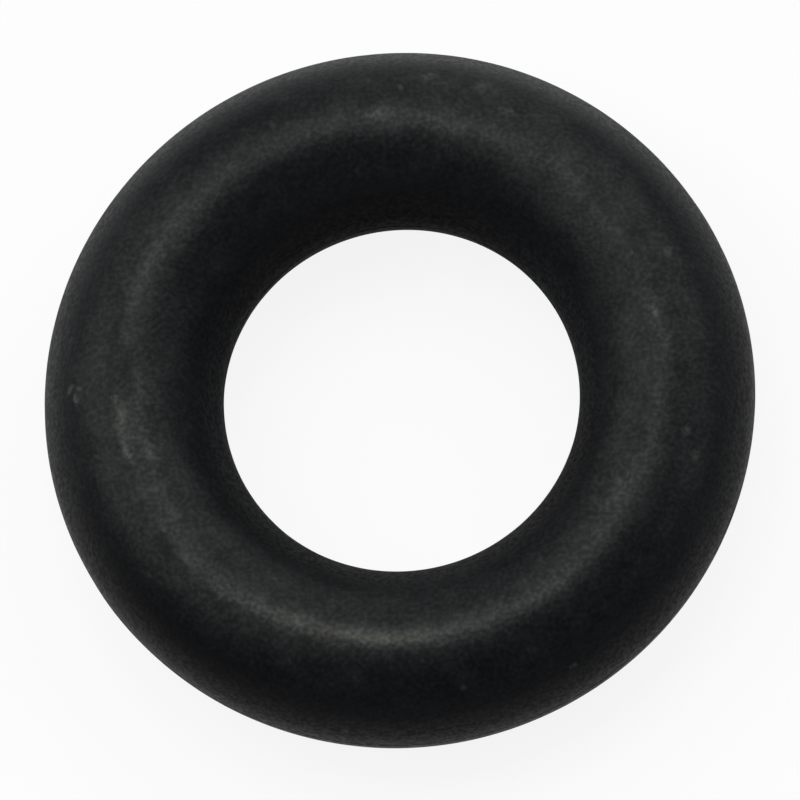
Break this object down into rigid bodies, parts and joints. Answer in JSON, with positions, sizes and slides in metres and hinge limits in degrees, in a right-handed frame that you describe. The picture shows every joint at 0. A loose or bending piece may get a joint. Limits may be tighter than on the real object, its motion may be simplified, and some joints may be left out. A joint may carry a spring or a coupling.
{
  "type": "o-ring",
  "caption": "Plain rubber sealing ring of round section, moulded in one piece, with a fine trimmed parting line round its bore and its rim.",
  "frame": {"origin": "centre of the ring, on its axis and on the mid-plane where the two halves of the mould met", "axes": "+Z along the ring's axis; the ring lies flat on the plane z = -1.5 mm, and X and Y are any two directions across it"},
  "size_m": [0.012, 0.012, 0.003],
  "materials": {
    "black_rubber": "satin moulded black nitrile rubber with a fine matt grain"
  },
  "bodies": {
    "root": {"o_ring": "black_rubber"}
  },
  "joints": []
}
